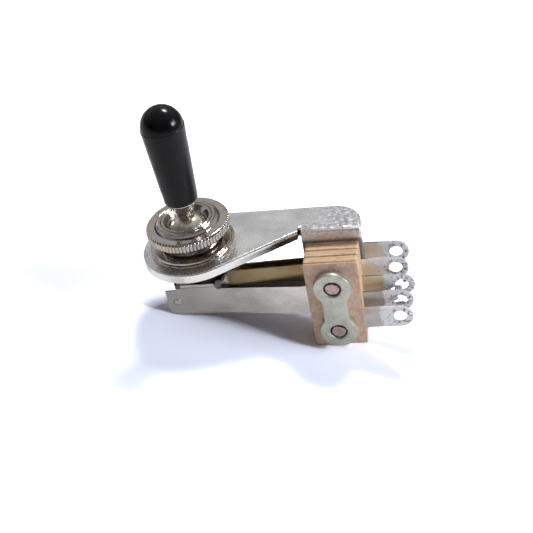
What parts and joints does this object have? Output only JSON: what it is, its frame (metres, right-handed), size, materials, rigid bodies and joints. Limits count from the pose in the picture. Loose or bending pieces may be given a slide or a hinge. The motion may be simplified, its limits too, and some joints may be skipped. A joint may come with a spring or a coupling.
{
  "type": "guitar pickup selector switch",
  "caption": "Right-angle toggle switch: a tipped lever in a threaded bushing with a knurled nut moves leaf contacts clamped in a stack with solder lugs.",
  "frame": {"origin": "on the bushing's axis at the top face of the bracket's plate, which is the bushing collar's seat", "axes": "+Z out along the bushing, +X towards the leaf stack and solder lugs, +Y towards the back"},
  "size_m": [0.0507, 0.0194, 0.0526],
  "materials": {
    "satin_nickel_plate": "satin plating with a fine grain",
    "bright_nickel": "bright plating",
    "black_tip": "glossy moulding",
    "black_nylon": "dull moulding",
    "steel": "plated steel",
    "leaf_metal": "tinned spring metal, warm and slightly mottled",
    "contact_silver": "dull silver",
    "phenolic": "paper laminate",
    "zinc_plate": "dull zinc plating",
    "tube_resin": "resin-bonded tube",
    "solder": "dull solder"
  },
  "bodies": {
    "switch_frame": {"bracket": "satin_nickel_plate", "bushing": "bright_nickel", "pivot_pin": "steel", "front_outer_leaf": "leaf_metal", "front_inner_leaf": "leaf_metal", "rear_inner_leaf": "leaf_metal", "rear_outer_leaf": "leaf_metal", "front_outer_contact": "contact_silver", "front_inner_contact": "contact_silver", "rear_inner_contact": "contact_silver", "rear_outer_contact": "contact_silver", "ground_lug": "leaf_metal", "rear_insulator": "phenolic", "rear_spacer": "phenolic", "middle_spacer": "phenolic", "front_spacer": "phenolic", "front_insulator": "phenolic", "clamp_plate": "zinc_plate", "upper_screw": "steel", "lower_screw": "steel", "upper_tube": "tube_resin", "lower_tube": "tube_resin", "lug_solder": "solder"},
    "lever": {"lever": "bright_nickel", "lever_tip": "black_tip", "actuator_cap": "black_nylon"},
    "nut": {"knurled_nut": "bright_nickel"}
  },
  "joints": [
    {"name": "lever_rock", "type": "hinge", "parent": "switch_frame", "child": "lever", "pos_m": [0, 0, 0.0028], "axis": [1, 0, 0], "range_deg": [-10, 10], "deforming": ["front_outer_leaf", "rear_outer_leaf", "front_outer_contact", "rear_outer_contact"]},
    {"name": "nut_turn", "type": "hinge", "parent": "switch_frame", "child": "nut", "pos_m": [0, 0, 0.0045], "axis": [0, 0, 1], "continuous": true}
  ]
}
